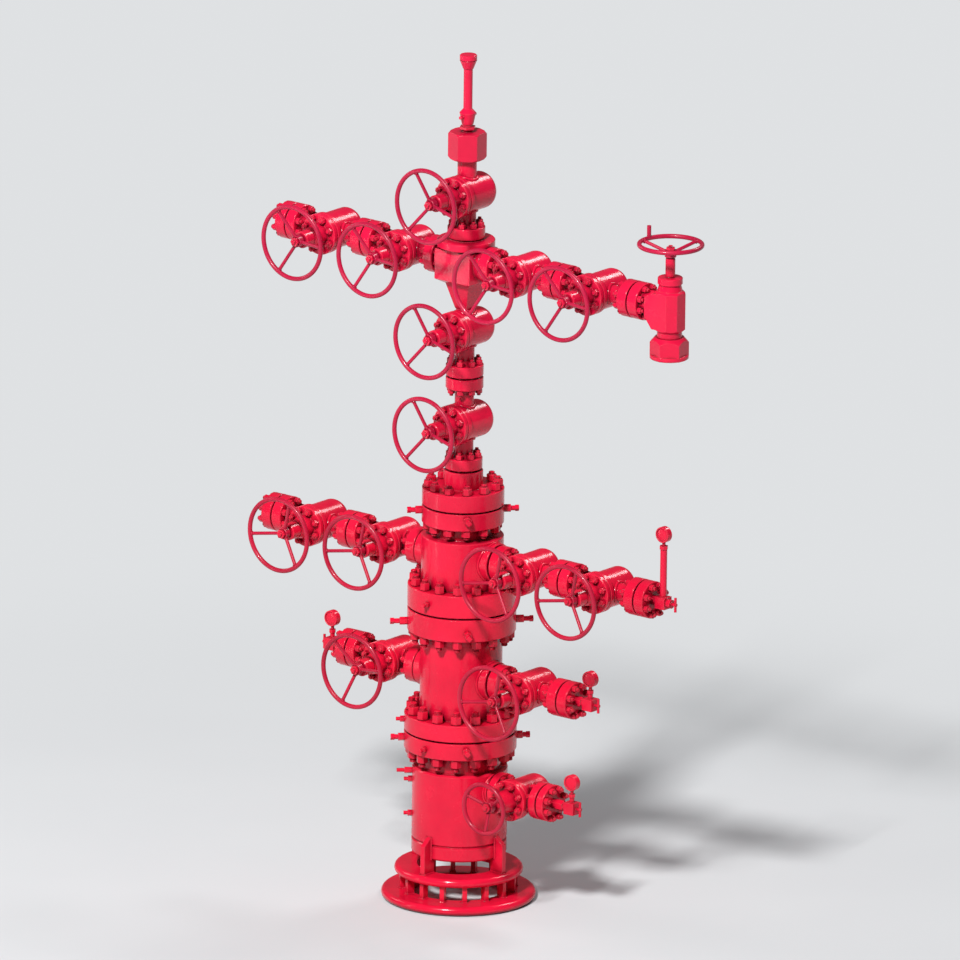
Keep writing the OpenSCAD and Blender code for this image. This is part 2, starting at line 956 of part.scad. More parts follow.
// A needle valve along X from an end flange, with a tee and a riser for its gauge
module needle_valve(gauge_h, riser_r, riser_x, extra = 0) {
    hex_r = 29;
    hex_len = 42;
    shank_r = 23;
    shank_len = 120;
    tip_r = 9;
    tee_half = 31;
    bar_r = 7;
    bar_half = 38;
    whole_len = needle_len + extra;
    riser_top = gauge_h - gauge_r - gauge_neck;
    along_arm() {
        cylinder(r = hex_r, h = hex_len + extra, $fn = 6);
        cylinder(r = shank_r, h = shank_len + extra);
        cylinder(r = tip_r, h = whole_len);
    }
    translate([riser_x - tee_half, -tee_half, -tee_half])
        cube(2 * tee_half);
    translate([whole_len - bar_r, 0, -bar_half])
        cylinder(r = bar_r, h = 2 * bar_half);
    translate([riser_x, 0, 0])
        cylinder(r = riser_r, h = riser_top);
    translate([riser_x, 0, riser_top - gauge_neck])
        cylinder(r = riser_r + 5, h = gauge_neck, $fn = 6);
}

// The needle valves on the tubing head, the spool and the casing head
module needle_valves() {
    short_r = 13;
    tall_r = 18;
    color("crimson") {
        on_arm(1, tubing_end_x + flange_t, tubing_outlet_z)
            needle_valve(tall_gauge_h, tall_r, tall_tee_x);
        for (side = [-1, 1])
            on_arm(side, spool_end_x + flange_t, spool_outlet_z)
                needle_valve(short_gauge_h, short_r, tee_x);
        on_arm(1, casing_end_x + small_flange_t, casing_outlet_z)
            needle_valve(short_gauge_h, short_r, tee_x + casing_tee_extra, casing_tee_extra);
    }
}

// A round gauge facing -Y, standing on its riser
module gauge() {
    socket_r = 9;
    rim_w = 6;
    face_depth = 3;
    facing_front()
        translate([0, 0, -gauge_t / 2])
            difference() {
                drum(gauge_r, gauge_t, face_depth);
                translate([0, 0, gauge_t - face_depth])
                    cylinder(r = gauge_r - rim_w, h = face_depth + 1);
            }
    translate([0, 0, -gauge_r - gauge_neck])
        cylinder(r = socket_r, h = gauge_neck + edge);
}

// The four gauges
module gauges() {
    color("crimson") {
        on_arm(1, tubing_end_x + flange_t + tall_tee_x, tubing_outlet_z + tall_gauge_h)
            gauge();
        for (side = [-1, 1])
            on_arm(side, spool_end_x + flange_t + tee_x, spool_outlet_z + short_gauge_h)
                gauge();
        on_arm(1, casing_end_x + small_flange_t + tee_x + casing_tee_extra, casing_outlet_z + short_gauge_h)
            gauge();
    }
}

// A lockdown screw in its gland nut, standing out from a flange's rim
module lockdown_screw(rim_r, z, angle, length) {
    gland_nut_r = 21;
    gland_nut_len = length * 0.45;
    screw_r = 13;
    head_r = 17;
    head_len = 20;
    difference() {
        rotate([0, 0, angle])
            translate([0, 0, z])
                along_arm() {
                    cylinder(r = gland_nut_r, h = rim_r + gland_nut_len, $fn = 6);
                    cylinder(r = screw_r, h = rim_r + length);
                    translate([0, 0, rim_r + length - head_len])
                        cylinder(r = head_r, h = head_len, $fn = 4);
                }
        cylinder(r = rim_r, h = cap_z);
    }
}

// A hexagonal test plug on a round face
module test_plug(rim_r, z, angle, length) {
    hex_r = 17;
    tip_r = 10;
    difference() {
        rotate([0, 0, angle])
            translate([0, 0, z])
                along_arm() {
                    cylinder(r = hex_r, h = rim_r + length / 2, $fn = 6);
                    cylinder(r = tip_r, h = rim_r + length);
                }
        cylinder(r = rim_r, h = cap_z);
    }
}

// Lockdown screws on the three big flanges, and the test plugs
module screws_and_plugs() {
    low_reach = 70;
    mid_reach = 90;
    top_reach = 77;
    low_rise = low_flange_t * 0.62;
    mid_rise = mid_flange_t * 0.38;
    top_rise = top_flange_t * 0.72;
    long_plug = 80;
    plug = 42;
    upper_drop = 38;
    middle_drop = 84;
    lower_drop = 268;
    side_angle = 180 + view_turn;
    front_angle = 270;
    color("crimson") {
        for (angle = [45 : 90 : 315]) {
            lockdown_screw(low_flange_r, casing_flange_z + low_rise, angle, low_reach);
            lockdown_screw(mid_flange_r, spool_flange_z + mid_rise, angle, mid_reach);
            lockdown_screw(top_flange_r, tubing_flange_z + top_rise, angle, top_reach);
        }
        test_plug(low_flange_r, casing_flange_z + low_flange_t / 2, front_angle, plug);
        test_plug(mid_flange_r, tubing_z + mid_flange_t / 2, front_angle, plug);
        test_plug(low_flange_r, spool_z + low_flange_t / 2, side_angle, plug);
        test_plug(barrel_r, casing_neck_z - upper_drop, side_angle, long_plug);
        for (drop = [middle_drop, lower_drop])
            test_plug(barrel_r, casing_neck_z - drop, side_angle, plug);
    }
}

module lower_master_wheel() {
    front_wheel(0, lower_master_z, master_spoke);
}

module upper_master_wheel() {
    front_wheel(0, upper_master_z, master_spoke);
}

module swab_wheel() {
    front_wheel(0, swab_z, master_spoke);
}

module left_inner_wing_wheel() {
    front_wheel(-inner_wing_x, wing_z, wing_spoke);
}

module left_outer_wing_wheel() {
    front_wheel(-outer_wing_x, wing_z, wing_spoke);
}

module right_inner_wing_wheel() {
    front_wheel(inner_wing_x, wing_z, wing_spoke);
}

module right_outer_wing_wheel() {
    front_wheel(outer_wing_x, wing_z, wing_spoke);
}

module left_inner_tubing_wheel() {
    front_wheel(-inner_outlet_x, tubing_outlet_z, outlet_spoke);
}

module left_outer_tubing_wheel() {
    front_wheel(-outer_outlet_x, tubing_outlet_z, outlet_spoke);
}

module right_inner_tubing_wheel() {
    front_wheel(inner_outlet_x, tubing_outlet_z, outlet_spoke);
}

module right_outer_tubing_wheel() {
    front_wheel(outer_outlet_x, tubing_outlet_z, outlet_spoke);
}

module left_casing_wheel() {
    front_wheel(-inner_outlet_x, spool_outlet_z, left_casing_spoke);
}

module right_casing_wheel() {
    front_wheel(inner_outlet_x, spool_outlet_z, outlet_spoke);
}

module casing_head_wheel() {
    front_wheel(casing_valve_x, casing_outlet_z, head_spoke, small_wheel_r, small_wheel_y);
}

// The choke's level wheel, with a peg to spin it by
module choke_wheel() {
    peg_angle = 172;
    peg_r = 11;
    color("firebrick")
        translate([choke_x, 0, choke_wheel_z]) {
            handwheel(choke_wheel_r, choke_spoke);
            rotate([0, 0, peg_angle])
                translate([choke_wheel_r - rim_t / 2, 0, 0])
                    cylinder(r = peg_r, h = rim_t / 2 + peg_h);
        }
}

base_ring();
base_cage();
casing_head();
casing_spool();
tubing_head();
adapter_flange();
lower_master_valve();
upper_master_valve();
swab_valve();
cross();
tree_cap();
left_inner_wing_valve();
left_outer_wing_valve();
right_inner_wing_valve();
right_outer_wing_valve();
left_inner_tubing_valve();
left_outer_tubing_valve();
right_inner_tubing_valve();
right_outer_tubing_valve();
left_casing_valve();
right_casing_valve();
casing_head_valve();
tree_bonnets();
outlet_bonnets();
choke_body();
choke_union();
end_flanges();
needle_valves();
gauges();
screws_and_plugs();
lower_master_wheel();
upper_master_wheel();
swab_wheel();
left_inner_wing_wheel();
left_outer_wing_wheel();
right_inner_wing_wheel();
right_outer_wing_wheel();
left_inner_tubing_wheel();
left_outer_tubing_wheel();
right_inner_tubing_wheel();
right_outer_tubing_wheel();
left_casing_wheel();
right_casing_wheel();
casing_head_wheel();
choke_wheel();
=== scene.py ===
"""Dresses the wellhead valve stack: gloss paint, studs and nuts, weld beads, cast fillets and gauge fronts."""

import json
import math

import bpy
from mathutils import Matrix, Vector, noise


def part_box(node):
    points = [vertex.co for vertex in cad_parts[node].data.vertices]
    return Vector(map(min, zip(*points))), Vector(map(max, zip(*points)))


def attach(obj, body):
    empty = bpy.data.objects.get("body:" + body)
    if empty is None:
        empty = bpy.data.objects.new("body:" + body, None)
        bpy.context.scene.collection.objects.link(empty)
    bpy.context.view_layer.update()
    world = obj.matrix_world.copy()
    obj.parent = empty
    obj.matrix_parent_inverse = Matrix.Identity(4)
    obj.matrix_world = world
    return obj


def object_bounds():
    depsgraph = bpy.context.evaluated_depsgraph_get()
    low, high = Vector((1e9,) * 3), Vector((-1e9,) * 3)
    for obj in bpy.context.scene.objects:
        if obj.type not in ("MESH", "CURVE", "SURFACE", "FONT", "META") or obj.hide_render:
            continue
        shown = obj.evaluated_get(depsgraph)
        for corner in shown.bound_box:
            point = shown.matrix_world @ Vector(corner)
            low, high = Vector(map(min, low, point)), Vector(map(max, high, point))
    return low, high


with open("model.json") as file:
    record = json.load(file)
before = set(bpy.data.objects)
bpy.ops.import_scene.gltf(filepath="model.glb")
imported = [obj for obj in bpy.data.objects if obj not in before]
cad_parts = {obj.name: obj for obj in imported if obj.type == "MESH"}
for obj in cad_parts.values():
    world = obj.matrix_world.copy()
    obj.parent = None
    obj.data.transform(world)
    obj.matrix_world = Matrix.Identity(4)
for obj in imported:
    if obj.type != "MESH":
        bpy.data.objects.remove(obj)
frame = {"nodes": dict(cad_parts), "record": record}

CAD_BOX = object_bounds()

# Sizes that the CAD part shares, in metres
JOINT_GAP = 0.008
FLANGE_T = 0.060
SMALL_FLANGE_T = 0.045
LOW_FLANGE_T = 0.090
MID_FLANGE_T = 0.120
TOP_FLANGE_T = 0.090
NECK_R = 0.050
BODY_R = 0.098
BONNET_FRONT = 0.122
PAD_R = 0.104
CASING_PAD_R = 0.092
BARREL_R = 0.247
HEAD_R = 0.213
WHEEL_DISH = 0.048
HUB_R = 0.030
HUB_LEN = 0.036
NUT_REACH = 0.016  # from the hub's front to the front of the nut that holds the wheel
SPOKE_R = 0.009
RIM_T = 0.024
STEM_R = 0.014
GAUGE_R = 0.042
GAUGE_T = 0.034
TEE_X = 0.090
TALL_TEE_X = 0.062
HEAD_TEE_EXTRA = 0.030
SHORT_GAUGE_H = 0.136
RIB_COUNT = 16
RIB_IN_R = 0.266
RIB_OUT_R = 0.306
RIB_T = 0.024
CAGE_RING_UP = 0.129  # the upper ring's top over the ribs' feet
CAGE_RING_T = 0.045
GUSSET_COUNT = 4
GUSSET_T = 0.028
GUSSET_IN_R = 0.222
GUSSET_EDGE_R = 0.300

# The angle of each wheel's first spoke, in degrees, and of its three spokes from there
SPOKES_FROM = 68
WHEEL_SPOKES = {
    "lower_master_wheel": 112, "upper_master_wheel": 112, "swab_wheel": 112,
    "left_inner_wing_wheel": 2, "left_outer_wing_wheel": 2, "right_inner_wing_wheel": 2, "right_outer_wing_wheel": 2,
    "left_casing_wheel": 10, "casing_head_wheel": 35, "choke_wheel": 70,
}
SPOKE_TURNS = (0, 120, 240)

# Bolt circles: where the studs stand, their nuts, and the threaded end past each nut
SMALL_BOLTS = {"count": 8, "pcd_r": 0.077, "nut_r": 0.0185, "nut_h": 0.024, "stud_r": 0.0105,
               "stud_out": 0.012, "turns": 3}
BONNET_BOLTS = {"count": 8, "pcd_r": 0.086, "nut_r": 0.0175, "nut_h": 0.020, "stud_r": 0.010,
                "stud_out": 0.009, "turns": 2}
LOW_BOLTS = {"count": 16, "pcd_r": 0.2545, "nut_r": 0.0305, "nut_h": 0.044, "stud_r": 0.0185,
             "stud_out": 0.022, "turns": 4}
MID_BOLTS = {"count": 16, "pcd_r": 0.2500, "nut_r": 0.0265, "nut_h": 0.040, "stud_r": 0.017,
             "stud_out": 0.018, "turns": 4}
TOP_BOLTS = {"count": 12, "pcd_r": 0.1810, "nut_r": 0.0265, "nut_h": 0.036, "stud_r": 0.016,
             "stud_out": 0.014, "turns": 3}
STUD_SIDES = 12
STUD_SINK = 0.003  # how far the stretch of stud between two flanges runs into each
NUT_TWIST, HEX_TURN = 37, 60  # degrees from one nut to the next, so that no two flats line up

# A nut's chamfers and washer face, as shares of its radii and height
NUT_FACE = 0.98
NUT_DIP = 0.985
NUT_CUT = 0.10
NUT_LOW_CUT = 0.6
NUT_WASHER = 0.05
NUT_WASHER_R = 0.97

# A stud's thread, as shares of its length, of one turn and of its radius
THREAD_LENGTH = 0.8
THREAD_CREST, THREAD_ROOT = 0.35, 0.7
THREAD_ROOT_R = 0.88
TIP_FROM, TIP_R = 0.85, 0.8
STEM_TIP_LEN, STEM_TIP_R, STEM_TIP_TURNS = 0.010, STEM_R * 0.85, 3

# Weld beads and fillets
SLANT = Vector((0.31, 0.17, 0.93))  # a direction that few paths follow, to turn each bead's section from
NEARLY_ALONG = 0.2
WAVE_TURN, WAVE_NOISE, WAVE_SCALE = 2.1, 0.8, 60
WELD_R, HEAVY_WELD, WELD_RIPPLE, WELD_STEP, WELD_SIDES = 0.0055, 1.2, 0.18, 0.004, 6
SPOKE_WELD_R, SPOKE_RIPPLE, SPOKE_WELD_POINTS = 0.0042, 0.12, 20
STEEP_SPOKE = 0.3  # radians; the small wheel's spokes lean more, so their beads sit further from the stem's nut
STEEP_STEP = 0.004
NECK_FILLET_R, NECK_FILLET_OUT, NECK_FILLET_POINTS = 0.010, 0.002, 40
PAD_FILLET_R, PAD_FILLET_POINTS = 0.008, 56

# Angles in degrees under which two faces look rounded into each other
PLAIN_SMOOTH, WELD_SMOOTH, FILLET_SMOOTH = 35, 60, 80

# The gauges' bezel, as pairs of radius past the gauge's own and height over its front, and their domed cover
GAUGE_SIDES = 40
BEZEL = ((-0.0085, -0.004), (-0.001, -0.004), (-0.001, 0.0015), (-0.003, 0.003), (-0.0065, 0.003), (-0.0085, 0.001))
COVER_R, COVER_FOOT, COVER_LEVEL, COVER_RISE = GAUGE_R - 0.008, -0.004, -0.003, 0.004
COVER_ANGLES = range(0, 86, 12)

# Paint: colours, and shares of them where the coat is thin or thick, darkened by painted shade in corners, or pale
# along the edges from rubbed paint and a painted highlight
RED = (0.72, 0.0065, 0.038)
WHEEL_RED = (0.46, 0.0080, 0.036)
BOLT_SHARE = 0.92
THIN, THICK = 0.80, 1.08
# share of the colour that is left in the painted shade in corners
PAINTED_CORNER_SHADE_TONE = 0.08
# the pale edge tone: rubbed paint and a painted edge highlight
CHALK_AND_HIGHLIGHT_SHARE, CHALK_AND_HIGHLIGHT_ADD = 0.75, 0.12
PAINTED_SKY_PINK = (1.0, 1.0, 1.3, 1)  # painted sky reflection: the upper tree is tinted pinker, from one height in metres to another
PAINTED_SKY_PINK_SPAN = (1.6, 3.4)
# painted shade in corners: how dark it goes and how far the occlusion reaches
PAINTED_CORNER_SHADE, PAINTED_CORNER_SHADE_REACH = 0.85, 0.045
# how strong the pale edges grow: rubbed paint and a painted highlight
RUB_AND_HIGHLIGHT = 0.7
SPECULAR, COAT, COAT_ROUGH = 0.24, 0.12, 0.07
SKIN_DEPTH, PEEL_DEPTH, PEEL = 0.004, 0.001, 0.10
CORNER_SAMPLES, EDGE_SAMPLES = 6, 4

# The paint's noises as scale and detail, and the spans of the values that they and the corners are read over
SHADE_NOISE, SHADE_SPAN = (3.5, 4.0), (0.30, 0.68)
GLOSS_NOISE, GLOSS_SPAN = (14.0, 5.0), (0.3, 0.7)
# the rub noise and span set the pale edges: rubbed paint and a painted highlight
RUB_AND_HIGHLIGHT_NOISE, RUB_AND_HIGHLIGHT_SPAN = (22.0, 5.0), (0.99, 0.86)
SKIN_NOISE, PEEL_NOISE = (28.0, 4.0), (260.0, 2.0)
# the span over which the painted shade in corners is read
PAINTED_CORNER_SHADE_SPAN = (0.25, 0.85)

# The floor, how far out it turns into the even backdrop, and that backdrop's tone
FLOOR_HALF, FLOOR_SINK, FLOOR_ROUGH = 400, 0.0005, 0.9
FLOOR_DARK, FLOOR_LIGHT = (0.61, 0.62, 0.635), (0.65, 0.66, 0.67)
FLOOR_NOISE = (0.8, 3.0)
BACKDROP_SPAN = (1.6, 6.5)
BACKDROP_TONE = (0.74, 0.755, 0.77, 1)

# Studio light: a high key, a weak fill at the left, a top light from behind and a low strip, all aimed at one height
LAMPS = (
    ("key", (7.2, -23.9, 25.3), (4.0, 4.0), 15400),
    ("fill", (-9.0, -1.5, 6.0), (3.0, 3.0), 130),
    ("top", (1.0, 8.5, 10.5), (2.6, 2.6), 360),
    ("strip", (-3.8, -4.7, 2.2), (0.40, 4.0), 24),
)
LAMPS_AIM_Z = 2.2
SKY, SKY_STRENGTH = (0.93, 0.96, 1.0, 1), 0.12

# The photograph's view of the stack, through a long lens
VIEW_AZIMUTH = 38.7
VIEW_ELEVATION = 16.0
VIEW_ROLL = 0.7
VIEW_HEIGHT = 4.95
VIEW_MIDDLE_X = 0.11
LENS_MM = 1500
SENSOR_MM = 36
CLIP_END = 1000

UP = (0, 0, 1)
FRONT = (0, -1, 0)
STACK = "stack"
VALVES = [name for name in frame["nodes"] if name.endswith("_valve")]
WHEEL_OF = {name: name.replace("_valve", "_wheel") for name in VALVES}
JOINTS = {joint["child"]: joint for joint in frame["record"]["behaviour"]["joints"]}


class Build:
    """Gathers shapes into one mesh."""

    def __init__(self):
        self.verts = []
        self.faces = []

    def add(self, shape, place):
        """Adds a (points, faces) shape, moved by the matrix place."""
        points, faces = shape
        first = len(self.verts)
        self.verts += [tuple(place @ Vector(p)) for p in points]
        self.faces += [tuple(first + i for i in face) for face in faces]

    def make(self, name, material, body=STACK, smooth=PLAIN_SMOOTH):
        """Makes the object and rides it on the body."""
        mesh = bpy.data.meshes.new(name)
        mesh.from_pydata(self.verts, [], self.faces)
        mesh.materials.append(material)
        mesh.validate()
        made = bpy.data.objects.new(name, mesh)
        bpy.context.scene.collection.objects.link(made)
        mesh.polygons.foreach_set("use_smooth", [True] * len(mesh.polygons))
        mesh.set_sharp_from_angle(angle=math.radians(smooth))
        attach(made, body)


def toward(origin, axis):
    """The matrix that puts a Z-axis shape at origin, pointing along axis."""
    turn = Vector(UP).rotation_difference(Vector(axis).normalized()).to_matrix().to_4x4()
    return Matrix.Translation(Vector(origin)) @ turn


def rings(loops, close_start=True, close_end=True):
    """A skin over loops of points with the same count each."""
    count = len(loops[0])
    points = [p for loop in loops for p in loop]
    faces = []
    for level in range(len(loops) - 1):
        for i in range(count):
            a = level * count + i
            b = level * count + (i + 1) % count
            faces.append((a, b, b + count, a + count))
    if close_start:
        faces.append(tuple(reversed(range(count))))
    if close_end:
        last = (len(loops) - 1) * count
        faces.append(tuple(range(last, last + count)))
    return points, faces


def hoop(loops):
    """A skin over loops of points whose last joins the first, point to point."""
    points, faces = rings(loops, False, False)
    count = len(loops[0])
    last = (len(loops) - 1) * count
    for i in range(count):
        faces.append((last + i, last + (i + 1) % count, (i + 1) % count, i))
    return points, faces


def circle(radius, height, count):
    """Points round the Z axis."""
    return [(radius * math.cos(2 * math.pi * i / count), radius * math.sin(2 * math.pi * i / count), height)
            for i in range(count)]


def lathe(profile, count):
    """A closed solid of revolution round Z from (radius, height) pairs, bottom to top."""
    return rings([circle(r, z, count) for r, z in profile])


def hex_loop(corner_r, flat_r, height):
    """Twelve points round a hexagon: its corners and the middles of its sides."""
    loop = []
    for i in range(12):
        r = corner_r if i % 2 == 0 else flat_r
        loop.append((r * math.cos(math.pi * i / 6), r * math.sin(math.pi * i / 6), height))
    return loop


def nut(corner_r, height):
    """A chamfered hexagonal nut standing on the XY plane, with its washer face below."""
    flat_r = corner_r * math.cos(math.pi / 6)
    face_r = flat_r * NUT_FACE
    cut = corner_r * NUT_CUT
    washer = height * NUT_WASHER
    washer_r = face_r * NUT_WASHER_R
    return rings([
        hex_loop(washer_r, washer_r, 0),
        hex_loop(washer_r, washer_r, washer),
        hex_loop(corner_r, flat_r, washer + cut * NUT_LOW_CUT),
        hex_loop(corner_r, flat_r, height - cut),
        hex_loop(face_r, face_r * NUT_DIP, height),
    ])


def stud_end(radius, length, turns):
    """The threaded end of a stud, with a chamfered tip."""
    loops = [circle(radius, 0, STUD_SIDES)]
    step = length * THREAD_LENGTH / turns
    for turn in range(turns):
        base = turn * step
        loops.append(circle(radius, base + step * THREAD_CREST, STUD_SIDES))
        loops.append(circle(radius * THREAD_ROOT_R, base + step * THREAD_ROOT, STUD_SIDES))
    loops.append(circle(radius, length * TIP_FROM, STUD_SIDES))
    loops.append(circle(radius * TIP_R, length, STUD_SIDES))
    return rings(loops, close_start=False)


def bead(path, radius, ripple=0.0, closed=True, sides=8, seed=0.0):
    """A rounded bead along a path of points, with the small waves of a weld when ripple is above zero."""
    loops = []
    count = len(path)
    for i, here in enumerate(path):
        if closed:
            ahead = path[(i + 1) % count] - path[i - 1]
        else:
            ahead = path[min(i + 1, count - 1)] - path[max(i - 1, 0)]
        ahead.normalize()
        side = ahead.cross(SLANT)
        if side.length < NEARLY_ALONG:
            side = ahead.cross(Vector((1, 0, 0)))
        side.normalize()
        up = side.cross(ahead)
        rough = noise.noise(here * WAVE_SCALE + Vector((seed, 0, 0)))
        wave = 1 + ripple * math.sin(i * WAVE_TURN) + ripple * WAVE_NOISE * rough
        loops.append([
            tuple(here + (side * math.cos(2 * math.pi * s / sides) + up * math.sin(2 * math.pi * s / sides))
                  * radius * wave)
            for s in range(sides)
        ])
    # One rule sets every loop's first point, so a closed bead's seam has no twist
    return hoop(loops) if closed else rings(loops)


def ring_path(radius, height, count):
    """Points of a level circle round the Z axis."""
    return [Vector(p) for p in circle(radius, height, count)]


def line_path(start, end, step):
    """Points along a straight line, about step apart."""
    start, end = Vector(start), Vector(end)
    count = max(2, round((end - start).length / step))
    return [start.lerp(end, i / count) for i in range(count + 1)]


def neck_path(neck_r, body_r, count):
    """The curve on which a neck along X leaves a round body along Y, on the +X side."""
    path = []
    for i in range(count):
        t = 2 * math.pi * i / count
        z = neck_r * math.sin(t)
        path.append(Vector((math.sqrt(body_r * body_r - z * z), neck_r * math.cos(t), z)))
    return path


def pad_path(pad_r, body_r, count):
    """The curve on which a pad along X leaves a round body along Z, on the +X side."""
    path = []
    for i in range(count):
        t = 2 * math.pi * i / count
        y = pad_r * math.cos(t)
        path.append(Vector((math.sqrt(body_r * body_r - y * y), y, pad_r * math.sin(t))))
    return path


def node_tree(name):
    """A fresh material, its nodes and links and its shader."""
    material = bpy.data.materials.new(name)
    material.use_nodes = True
    nodes = material.node_tree.nodes
    return material, nodes, material.node_tree.links, nodes["Principled BSDF"]


def add_node(nodes, kind, **values):
    """A node with its inputs and properties set by name."""
    node = nodes.new(kind)
    for key, value in values.items():
        if key in node.inputs.keys():
            node.inputs[key].default_value = value
        else:
            setattr(node, key, value)
    return node


def noise_value(nodes, links, coords, scale, detail):
    """A noise over the object's own coordinates."""
    made = add_node(nodes, "ShaderNodeTexNoise", Scale=scale, Detail=detail)
    links.new(coords.outputs["Object"], made.inputs["Vector"])
    return made.outputs["Fac"]


def ranged(nodes, links, source, span, onto=(0.0, 1.0), **settings):
    """A value read over span and spread onto another range."""
    made = add_node(nodes, "ShaderNodeMapRange", **settings)
    for key, value in zip(("From Min", "From Max", "To Min", "To Max"), (*span, *onto)):
        made.inputs[key].default_value = value
    links.new(source, made.inputs["Value"])
    return made.outputs["Result"]


def ramped(nodes, links, source, dark, light, span=(0.0, 1.0)):
    """A value turned into a colour from dark to light."""
    made = add_node(nodes, "ShaderNodeValToRGB")
    for stop, position, colour in zip(made.color_ramp.elements, span, (dark, light)):
        stop.position = position
        stop.color = (*colour, 1)
    links.new(source, made.inputs["Fac"])
    return made.outputs["Color"]


def mixed(nodes, links, factor, under, over, **settings):
    """The colour under mixed with the fixed colour over."""
    made = add_node(nodes, "ShaderNodeMix", data_type="RGBA", **settings)
    made.inputs["B"].default_value = over
    links.new(factor, made.inputs["Factor"])
    links.new(under, made.inputs["A"])
    return made.outputs["Result"]


def reckoned(nodes, links, operation, first, second):
    """The result of an operation on two values."""
    made = add_node(nodes, "ShaderNodeMath", operation=operation)
    links.new(first, made.inputs[0])
    links.new(second, made.inputs[1])
    return made.outputs["Value"]


def bumped(nodes, links, height, normal, strength, depth):
    """The normal bent by a height."""
    made = add_node(nodes, "ShaderNodeBump", Strength=strength, Distance=depth)
    links.new(height, made.inputs["Height"])
    links.new(normal, made.inputs["Normal"])
    return made.outputs["Normal"]


def paint(name, colour, rough, cast=0.35, edge_r=0.004):
    """Thick gloss paint over metal: uneven colour, painted shade in the corners, a painted pinker sky reflection up
    high, pale edges of rubbed paint and painted highlight, orange peel and the cast surface below.
    """
    material, nodes, links, shader = node_tree(name)
    coords = add_node(nodes, "ShaderNodeTexCoord")

    # Slow changes of shade, darker where the paint ran thin
    shade = noise_value(nodes, links, coords, *SHADE_NOISE)
    thin, thick = [c * THIN for c in colour], [min(1, c * THICK) for c in colour]
    tone = ramped(nodes, links, shade, thin, thick, SHADE_SPAN)

    # Painted sky reflection: the upper tree is tinted a little pinker than the heads below
    height = add_node(nodes, "ShaderNodeSeparateXYZ")
    links.new(coords.outputs["Object"], height.inputs["Vector"])
    share = ranged(nodes, links, height.outputs["Z"], PAINTED_SKY_PINK_SPAN)
    tone = mixed(nodes, links, share, tone, PAINTED_SKY_PINK, blend_type="MULTIPLY")

    # Painted shade in tight corners, read from ambient occlusion
    corner = add_node(nodes, "ShaderNodeAmbientOcclusion", samples=CORNER_SAMPLES, Distance=PAINTED_CORNER_SHADE_REACH)
    depth = ranged(nodes, links, corner.outputs["AO"], PAINTED_CORNER_SHADE_SPAN, (PAINTED_CORNER_SHADE, 0.0))
    tone = mixed(nodes, links, depth, tone, (*[c * PAINTED_CORNER_SHADE_TONE for c in colour], 1))

    # Pale chalky edges: partly rubbed paint, partly a painted highlight along the edges
    soft = add_node(nodes, "ShaderNodeBevel", samples=EDGE_SAMPLES, Radius=edge_r)
    facing = add_node(nodes, "ShaderNodeNewGeometry")
    bend = add_node(nodes, "ShaderNodeVectorMath", operation="DOT_PRODUCT")
    links.new(soft.outputs["Normal"], bend.inputs[0])
    links.new(facing.outputs["Normal"], bend.inputs[1])
    rim = ranged(nodes, links, bend.outputs["Value"], RUB_AND_HIGHLIGHT_SPAN, (0.0, RUB_AND_HIGHLIGHT))
    patches = noise_value(nodes, links, coords, *RUB_AND_HIGHLIGHT_NOISE)
    rub_and_highlight = reckoned(nodes, links, "MULTIPLY", rim, patches)
    tone = mixed(nodes, links, rub_and_highlight, tone, (*[CHALK_AND_HIGHLIGHT_SHARE * c + CHALK_AND_HIGHLIGHT_ADD for c in colour], 1))
    links.new(tone, shader.inputs["Base Color"])

    # Gloss that varies from place to place
    smear = noise_value(nodes, links, coords, *GLOSS_NOISE)
    links.new(ranged(nodes, links, smear, GLOSS_SPAN, rough), shader.inputs["Roughness"])
    shader.inputs["Specular IOR Level"].default_value = SPECULAR
    shader.inputs["Coat Weight"].default_value = COAT
    shader.inputs["Coat Roughness"].default_value = COAT_ROUGH

    # The cast skin and orange peel, over the rounded edges
    skin = noise_value(nodes, links, coords, *SKIN_NOISE)
    low = bumped(nodes, links, skin, soft.outputs["Normal"], cast, SKIN_DEPTH)
    peel = noise_value(nodes, links, coords, *PEEL_NOISE)
    links.new(bumped(nodes, links, peel, low, PEEL, PEEL_DEPTH), shader.inputs["Normal"])
    return material


CAST_PAINT = paint("cast_paint", RED, rough=(0.15, 0.30))
SMOOTH_PAINT = paint("smooth_paint", RED, rough=(0.12, 0.26), cast=0.12)
BOLT_PAINT = paint("bolt_paint", [c * BOLT_SHARE for c in RED], rough=(0.24, 0.40), cast=0.10, edge_r=0.0015)
WHEEL_PAINT = paint("wheel_paint", WHEEL_RED, rough=(0.28, 0.42), cast=0.10, edge_r=0.002)
SMOOTH_NODES = ("base_ring", "base_cage", "choke_union", "needle_valves", "gauges", "screws_and_plugs", "tree_cap")


def paint_nodes():
    """Gives every CAD node its paint."""
    for name, node in frame["nodes"].items():
        if name.endswith("_wheel"):
            material = WHEEL_PAINT
        elif name in SMOOTH_NODES:
            material = SMOOTH_PAINT
        else:
            material = CAST_PAINT
        node.data.materials.clear()
        node.data.materials.append(material)


def valve_centre(valve):
    """The middle of a valve's body."""
    x, _, z = JOINTS[WHEEL_OF[valve]]["pos_m"]
    return Vector((x, 0, z))


def stud_spots(spec):
    """The number, angle and place of each stud on a bolt circle."""
    for i in range(spec["count"]):
        angle = 2 * math.pi * (i + 0.5) / spec["count"]
        yield i, angle, Matrix.Translation((spec["pcd_r"] * math.cos(angle), spec["pcd_r"] * math.sin(angle), 0))


